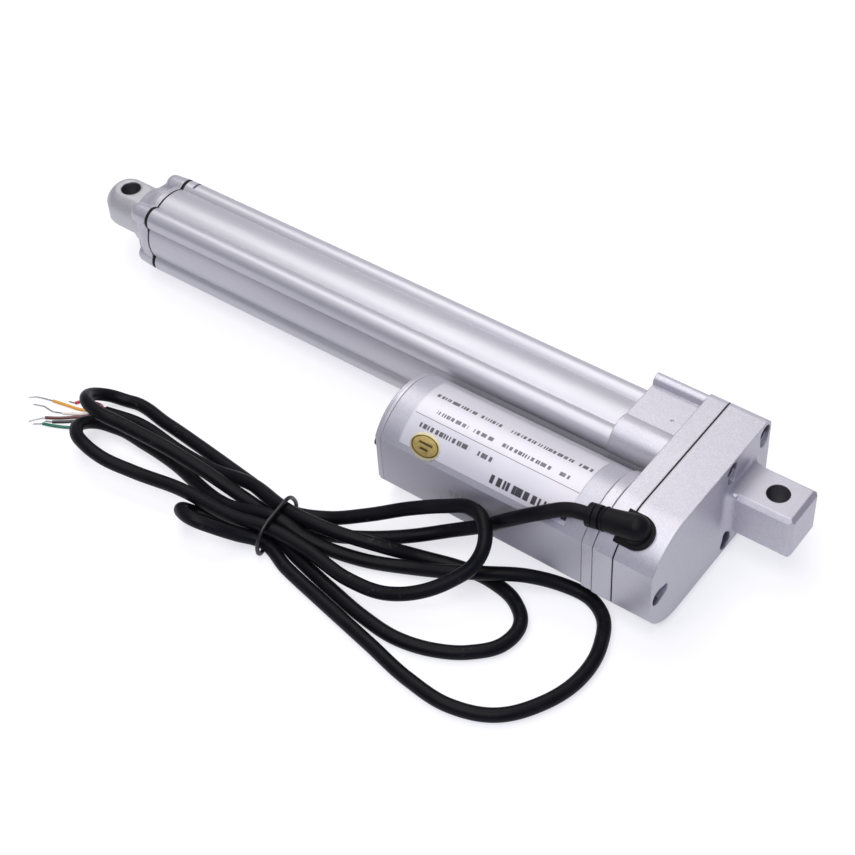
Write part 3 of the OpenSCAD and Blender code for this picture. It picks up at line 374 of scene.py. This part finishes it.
def sticker_film():
    mt, nt, bs = new_mat("sticker_gold")
    tc = nt.nodes.new("ShaderNodeTexCoord")
    sx = nt.nodes.new("ShaderNodeSeparateXYZ")
    nt.links.new(tc.outputs["Object"], sx.inputs[0])
    dx = math2(nt, "SUBTRACT", math2(nt, "MULTIPLY", sx.outputs[0], 1000.0), 111.0)
    y = math2(nt, "SUBTRACT", math2(nt, "MULTIPLY", sx.outputs[1], 1000.0), 38.6)
    z = math2(nt, "MULTIPLY", sx.outputs[2], 1000.0)
    ang = math2(nt, "SUBTRACT", math2(nt, "ARCTAN2", z, y), math.radians(43.3))
    dv = math2(nt, "MULTIPLY", ang, 21.7)
    r2 = math2(nt, "ADD", math2(nt, "POWER", math2(nt, "DIVIDE", math2(nt, "ABSOLUTE", dx), 5.6), 2.0),
               math2(nt, "POWER", math2(nt, "DIVIDE", math2(nt, "ABSOLUTE", dv), 3.7), 2.0))
    r = math2(nt, "SQRT", r2)
    v = coord(nt)
    n1 = noise(nt, v, 900, 2, 0.5)
    gold = mix(nt, maprange(nt, n1, 0.3, 0.7, 0, 1), (0.46, 0.34, 0.10), (0.60, 0.46, 0.17))
    dark = (0.10, 0.07, 0.03)
    pale = (0.72, 0.66, 0.42)
    ring = maprange(nt, math2(nt, "ABSOLUTE", math2(nt, "SUBTRACT", r, 0.97)), 0.03, 0.06, 1, 0)
    col = mix(nt, ring, gold, dark)
    col = mix(nt, maprange(nt, r, 1.03, 1.08, 0, 1), col, pale)
    # two plain strokes in the middle
    for c, h, w in ((0.9, 0.42, 2.9), (-1.1, 0.42, 1.7)):
        a = maprange(nt, math2(nt, "ABSOLUTE", math2(nt, "SUBTRACT", dv, c)), h - 0.1, h + 0.1, 1, 0)
        b = maprange(nt, math2(nt, "ABSOLUTE", dx), w - 0.1, w + 0.1, 1, 0)
        col = mix(nt, math2(nt, "MULTIPLY", a, b), col, dark)
    nt.links.new(col, bs.inputs["Base Color"])
    bs.inputs["Metallic"].default_value = 0.6
    nt.links.new(maprange(nt, n1, 0.3, 0.7, 0.28, 0.38), bs.inputs["Roughness"])
    nt.links.new(bump(nt, n1, 0.08, 0.00004), bs.inputs["Normal"])
    return mt
M["sticker"] = sticker_film()

ASSIGN = dict(rear_gear_case="cast", front_gear_case="cast", case_gasket="gasket", case_screws="zinc",
    outer_tube="tube", front_gasket="gasket", front_end_cap="cast", front_cap_screws="zinc", tube_screws="zinc",
    rod_guide_bush="acetal", rod_seal="gasket", rod_tube="rod", rod_eye="eye", drive_nut="brass", nut_pins="steel",
    lead_screw="steel", screw_gear="acetal", gear_key="steel", screw_retaining_ring="steel", screw_tip_guide="darkplastic",
    rear_bush="bronze", thrust_washer_fixed="steel", thrust_balls="steel", thrust_washer_turning="steel",
    screw_bearing_outer="steel", screw_bearing_balls="steel", screw_bearing_inner="steel", idler_gear="acetal",
    idler_shaft="steel", idler_washers="bronze", limit_switch_board="board", limit_switches="darkplastic",
    motor_collar="cast", motor_cover="cover", motor_end_cap="cast", end_cap_screws="blackscrew", motor_screws="zinc",
    motor_can="steel", motor_magnets="magnet", motor_front_bush="bronze", motor_endbell="darkplastic",
    motor_rear_bush="bronze", motor_shaft="steel", armature_core="lamination", armature_windings="copper",
    commutator="copper", brush_holder="phenolic", brushes="carbon", motor_pinion="brass", hall_magnet="magnet",
    hall_board="board", cable_elbow="elbow", power_cable="cable", cable_tie="tie", cable_wires="cream",
    rating_label="label", inspection_sticker="sticker")
for n, o in CAD.items():
    o.data.materials.clear()
    o.data.materials.append(M[ASSIGN[n]])

def link(o):
    bpy.context.scene.collection.objects.link(o)
    return o

# ------------------------------------------------------------------ curves
def spline_curve(name, pts, radius, mat, radii=None, floor=None, res=8, bevel=6, cyclic=False, tension=1.0):
    """smooth curve of one spline through pts (mm), handles along the mean direction"""
    cu = bpy.data.curves.new(name, "CURVE")
    cu.dimensions = "3D"
    cu.resolution_u = res
    cu.bevel_depth = radius
    cu.bevel_resolution = bevel
    cu.use_fill_caps = not cyclic
    sp = cu.splines.new("BEZIER")
    P = [Vector(p) * MM for p in pts]
    n = len(P)
    sp.bezier_points.add(n - 1)
    sp.use_cyclic_u = cyclic
    for i, p in enumerate(P):
        b = sp.bezier_points[i]
        b.co = p
        a = P[i - 1] if (i > 0 or cyclic) else None
        c = P[(i + 1) % n] if (i < n - 1 or cyclic) else None
        if a is None:
            d = (c - p).normalized(); la = 0; lc = (c - p).length
        elif c is None:
            d = (p - a).normalized(); la = (p - a).length; lc = 0
        else:
            la = (p - a).length; lc = (c - p).length
            da = (p - a) / la; dc = (c - p) / lc
            d = (da * lc + dc * la).normalized()
        if floor is not None and abs(p.z / MM - floor) < 0.25 and (cyclic or 0 < i < n - 1):
            d = Vector((d.x, d.y, 0)).normalized()
        b.handle_left_type = b.handle_right_type = "FREE"
        k = tension / 3.0
        if a is not None and c is not None:
            # the handle length that keeps a circular arc's radius
            turn = max(0.0, min(math.pi, (p - a).angle(c - p)))
            k *= 1.0 + 0.12 * min(turn, 1.5) ** 2
        if floor is not None:
            # neither handle may dip under the height the curve rests at
            room = max(0.0, p.z - floor * MM)
            if d.z < 0 and lc:
                d.z = max(d.z, -room / (lc * k))
            if d.z > 0 and la:
                d.z = min(d.z, room / (la * k))
        b.handle_left = p - d * la * k
        b.handle_right = p + d * lc * k
        b.radius = radii[i] if radii else 1.0
    o = link(bpy.data.objects.new(name, cu))
    cu.materials.append(mat)
    return o, sp

cz = -19.9
route = [
  (42.2, 53, 21), (50, 54, 19.8), (60, 58.2, 15.5), (70, 60.9, 8.5), (80.5, 61, -1.5), (94, 63.5, -10.5),
  (107.5, 71.3, -15), (121, 78.3, -18), (136, 85, -19.4), (152, 90, -18.2),
  (168, 89.3, -17.6), (185, 90, -13.5), (206, 91, -10), (226, 93, -7.5), (238.5, 94, -6.5), (247, 91, -8),
  (251.5, 85, -12.3), (249.5, 78.5, -17), (241.5, 74.3, -19.7), (222, 75.2, cz), (204, 77, cz), (187, 79, cz),
  (173, 80.8, -19.8), (152, 84.4, -18.2),
  (138, 79.5, -17), (124, 73.5, -12), (110, 66.7, -6), (97.5, 61.9, -1.2), (87, 61.2, 4), (78.5, 65, 6),
  (74, 70.5, 3), (74, 77, -2.5), (79, 84.5, -7.3), (87.5, 92.5, -11.3), (98, 97.5, -14), (113, 99.3, -15),
  (133, 97.6, -14), (152, 98.1, -13.2),
  (165, 100.7, -13.8), (190, 102, -13), (210, 105.5, -12.8), (224, 107.8, -11.2), (232.5, 107.2, -10.2),
  (240.5, 104, -11.2), (245, 98, -14), (243.5, 91.8, -17.4), (236, 88.3, -19.3), (221, 88, cz), (203, 89.6, cz),
  (189, 92.7, -19.8), (172, 95.8, -16.8), (152, 92.7, -13.2),
  (135, 92, -16.5), (117, 87, -19), (100, 80.3, -18.6), (86, 75.5, -16), (74, 69.8, -14.3), (62, 62.3, -15),
  (52, 56.8, -18), (43, 54.7, -19.8), (33.5, 58.5, cz), (26.5, 70, cz), (24.5, 86, cz), (29.5, 102, cz),
  (39, 114, cz), (54, 119.8, cz), (72, 119, cz), (92, 114.7, cz), (120, 108.7, cz), (137, 105, -19.6),
  (152, 101.2, -18.2),
  (159.5, 105.3, -15.7), (166, 109.8, -11.7), (173, 112.5, -9.5), (179.5, 111.3, -11), (183.7, 107.5, -15),
  (181.5, 103.8, -18.9), (173.5, 101.3, cz), (163.5, 99.3, -19.5), (152, 95.6, -18.2),
  (137, 99, -19.5), (118, 103.3, cz), (101, 106.6, cz), (86, 107.5, cz), (73, 104.5, cz), (61.5, 98, cz),
  (53.8, 88, cz), (54.2, 78, cz), (61, 71.3, cz), (73, 68.2, cz), (87, 69.5, cz), (100, 74, -18.8),
  (112, 80.5, -14.8), (131, 86.2, -12.9), (152, 87.3, -13.2),
  (170, 84, -14.8), (190, 84.6, -18), (210, 83.2, cz), (232, 81.5, cz), (246, 84.3, cz)]
cable, csp = spline_curve("power_lead", route, 0.0026, M["cable"], floor=cz, res=10, bevel=8)
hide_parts("power_cable")
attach(cable, "housing")

# ring round the seven strands
tie_pts = [(152.6, 80.4, -18), (152.4, 81.3, -14.4), (151.8, 84.6, -10.2), (151, 89.5, -9.3), (150.4, 95.4, -9.3),
  (150, 100.2, -9.9), (150, 104.2, -13.6), (150, 105.5, -17.8), (150.2, 104.8, -20.6), (150.6, 103, -21.7),
  (151.3, 93, -21.7), (152.2, 83, -21.7), (152.5, 81.1, -20.7)]
tie, _ = spline_curve("tie_ring", tie_pts, 0.00078, M["tie"], floor=-21.7, res=8, bevel=5, cyclic=True)
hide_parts("cable_tie")
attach(tie, "housing")

# ------------------------------------------------------------------ wires
wz = -21.8
je = Vector((246.03, 84.3, cz))
def wire_start(a):
    a = math.radians(a)
    return je + 1.45 * Vector((-0.2 * math.cos(a), 0.98 * math.cos(a), math.sin(a)))
wires = [
  ("red", 150, [(250.5, 82, -20.4), (256, 81.8, wz), (259.6, 83.6, wz), (261.4, 86, wz)], [(264.4, 86.6, -22.1)]),
  ("orange", 210, [(251.5, 84.6, wz), (257, 87.4, wz), (263, 88.7, wz), (269.5, 90, wz)], [(274, 91, -22.1), (277.3, 92, -22.1), (279.3, 94, -22.1)]),
  ("white", 90, [(250.4, 86, -20.2), (255.5, 89.5, wz), (261.5, 92.8, wz)], [(265.8, 94.3, -22.1), (270.7, 94, -22.1), (275, 95.6, -22.1)]),
  ("brown", 270, [(250.6, 87, wz), (255.8, 91.6, wz), (260.5, 95.4, wz), (265.5, 98.5, wz)], [(268.2, 101, -22.1), (269.8, 103.5, -22.1)]),
  ("black", 30, [(249.6, 88.7, -20.7), (253, 92, wz), (257, 95.4, wz), (261.5, 98.6, wz)], [(264.6, 99.8, -22.1)]),
  ("green", 330, [(248, 88.6, wz), (249, 93.4, wz), (254.5, 97.4, wz), (260.5, 100.2, wz), (264, 101.4, wz)], [(267.4, 103.6, -22.1)])]
WC = dict(red=(0.42, 0.015, 0.03), orange=(0.62, 0.30, 0.05), white=(0.72, 0.66, 0.62), brown=(0.10, 0.018, 0.014),
          black=(0.010, 0.010, 0.010), green=(0.0, 0.12, 0.065))
M["tinned"] = brushed("tinned_copper", (0.42, 0.41, 0.42), 0.35, 1.0, (900, 900, 900), 0.2)
wire_objs = []
rnd = random.Random(7)
for nm, a, ins, bare in wires:
    s = wire_start(a)
    mt = plastic("insulation_" + nm, WC[nm], 0.30, 0.05)
    P = [tuple(s), tuple(s + Vector((1.8, 0.36, 0)))] + ins
    o, sp = spline_curve("wire_" + nm, P, 0.00065, mt, floor=wz, res=8, bevel=5)
    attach(o, "housing")
    wire_objs.append(o)
    # bare strands, twisted together
    end = Vector(ins[-1])
    line = [end] + [Vector(b) for b in bare]
    # resample the core line
    seg = []
    for p, q in zip(line[:-1], line[1:]):
        k = max(2, int((q - p).length / 0.5))
        seg += [p.lerp(q, t / k) for t in range(k)]
    seg.append(line[-1])
    for it in range(3):
        seg = [seg[0]] + [(seg[i - 1] + seg[i] * 2 + seg[i + 1]) / 4 for i in range(1, len(seg) - 1)] + [seg[-1]]
    strands = bpy.data.curves.new("strands_" + nm, "CURVE")
    strands.dimensions = "3D"
    strands.bevel_depth = 0.00012
    strands.bevel_resolution = 2
    strands.use_fill_caps = True
    for j in range(7):
        cut = len(seg) - (rnd.randint(0, 3) if j else 0)
        sp = strands.splines.new("POLY")
        pts = []
        for i, c in enumerate(seg[:max(4, cut)]):
            t = (seg[min(i + 1, len(seg) - 1)] - seg[max(i - 1, 0)]).normalized()
            u = Vector((0, 0, 1)); w = t.cross(u).normalized(); u = w.cross(t)
            r = 0.0 if j == 0 else 0.20 * (1.0 - 0.15 * i / len(seg))
            ph = j * math.pi / 3 + i * 0.42
            q = c + r * (math.cos(ph) * w + math.sin(ph) * u)
            q.z = max(q.z, -22.36)
            pts.append(q * MM)
        sp.points.add(len(pts) - 1)
        for k, q in enumerate(pts):
            sp.points[k].co = (q.x, q.y, q.z, 1)
    so = link(bpy.data.objects.new("strands_" + nm, strands))
    strands.materials.append(M["tinned"])
    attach(so, "housing")
    wire_objs.append(so)
for o in wire_objs:
    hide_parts("cable_wires")

# ------------------------------------------------------------------ stage
def area_light(name, loc, target, size, power, color=(1, 1, 1), size_y=None):
    ld = bpy.data.lights.new(name, "AREA")
    ld.shape = "RECTANGLE"
    ld.size = size
    ld.size_y = size_y or size
    ld.energy = power
    ld.color = color
    o = link(bpy.data.objects.new(name, ld))
    o.location = loc
    d = Vector(target) - Vector(loc)
    o.rotation_euler = d.to_track_quat("-Z", "Y").to_euler()
    return o

bm = bmesh.new()
bmesh.ops.create_grid(bm, x_segments=1, y_segments=1, size=4.0)
me = bpy.data.meshes.new("floor")
bm.to_mesh(me); bm.free()
floor = link(bpy.data.objects.new("floor", me))
floor.location = (0.12, 0.05, -0.02252)
mt, nt, bs = new_mat("floor_white")
nt.links.new(mix(nt, noise(nt, coord(nt), 3, 2, 0.5), (0.34, 0.34, 0.34), (0.36, 0.36, 0.36)), bs.inputs["Base Color"])
bs.inputs["Emission Color"].default_value = (0.96, 0.96, 1.0, 1)
# the floor's own glow fades where the object stands over it
ftc = nt.nodes.new("ShaderNodeTexCoord")
fsx = nt.nodes.new("ShaderNodeSeparateXYZ")
nt.links.new(ftc.outputs["Object"], fsx.inputs[0])
fx = math2(nt, "MULTIPLY", math2(nt, "ADD", fsx.outputs[0], floor.location.x), 1000.0)
fy = math2(nt, "MULTIPLY", math2(nt, "ADD", fsx.outputs[1], floor.location.y), 1000.0)
under = None
for x0, x1, y0, y1 in ((36, 272, -16, 8), (36, 126, 4, 50), (12, 44, -20, 52)):
    k = None
    for v, a, b in ((fx, x0, x0 + 9), (fx, x1, x1 - 9), (fy, y0, y0 + 8), (fy, y1, y1 - 8)):
        q = maprange(nt, v, a, b, 0.0, 1.0, True)
        k = q if k is None else math2(nt, "MULTIPLY", k, q)
    under = k if under is None else math2(nt, "MAXIMUM", under, k)
nt.links.new(maprange(nt, under, 0.0, 1.0, 0.68, 0.06), bs.inputs["Emission Strength"])
bs.inputs["Roughness"].default_value = 0.75
bs.inputs["Specular IOR Level"].default_value = 0.2
me.materials.append(mt)

# a pale dome closes the studio for low views; only the camera sees it, so it lights nothing
bm = bmesh.new()
bmesh.ops.create_uvsphere(bm, u_segments=64, v_segments=32, radius=3.9)
bmesh.ops.delete(bm, geom=[v for v in bm.verts if v.co.z < -0.01], context="VERTS")
me = bpy.data.meshes.new("backdrop")
bm.to_mesh(me); bm.free()
dome = link(bpy.data.objects.new("backdrop", me))
dome.location = floor.location
mt, nt, bs = new_mat("backdrop_pale")
bs.inputs["Base Color"].default_value = (0, 0, 0, 1)
bs.inputs["Specular IOR Level"].default_value = 0.0
bs.inputs["Emission Color"].default_value = (0.76, 0.755, 0.78, 1)
bs.inputs["Emission Strength"].default_value = 1.0
me.materials.append(mt)
dome.visible_diffuse = dome.visible_glossy = dome.visible_transmission = False
dome.visible_volume_scatter = dome.visible_shadow = False

w = bpy.data.worlds.new("studio")
bpy.context.scene.world = w
w.use_nodes = True
wt = w.node_tree
wt.nodes.clear()
wo = wt.nodes.new("ShaderNodeOutputWorld")
bg = wt.nodes.new("ShaderNodeBackground")
tc = wt.nodes.new("ShaderNodeTexCoord")
sx = wt.nodes.new("ShaderNodeSeparateXYZ")
wt.links.new(tc.outputs["Generated"], sx.inputs[0])
rp = wt.nodes.new("ShaderNodeValToRGB")
els = rp.color_ramp.elements
els[0].position = 0.0; els[0].color = (0.14, 0.13, 0.40, 1)
els[1].position = 1.0; els[1].color = (1.0, 1.0, 1.0, 1)
e = els.new(0.35); e.color = (0.33, 0.32, 0.56, 1)
wt.links.new(sx.outputs[2], rp.inputs[0])
wt.links.new(rp.outputs[0], bg.inputs[0])
bg.inputs[1].default_value = 0.25
wt.links.new(bg.outputs[0], wo.inputs[0])

c0 = (0.13, 0.04, 0.0)
area_light("key", (0.55, -0.35, 1.1), c0, 0.9, 8.2, (1, 0.99, 0.97))
area_light("top", (0.05, 0.62, 1.25), c0, 1.1, 16.0, (0.98, 0.985, 1.0))
area_light("side", (-0.75, 0.75, 0.42), c0, 0.9, 1.5, (0.28, 0.27, 1.0))
back = area_light("back", (0.28, -1.2, 0.5), c0, 1.8, 3.2, (0.98, 0.98, 1.0), 0.8)
back.visible_camera = False

bpy.context.scene.view_settings.view_transform = "Standard"
bpy.context.scene.view_settings.look = "None"
bpy.context.scene.view_settings.exposure = 0.0
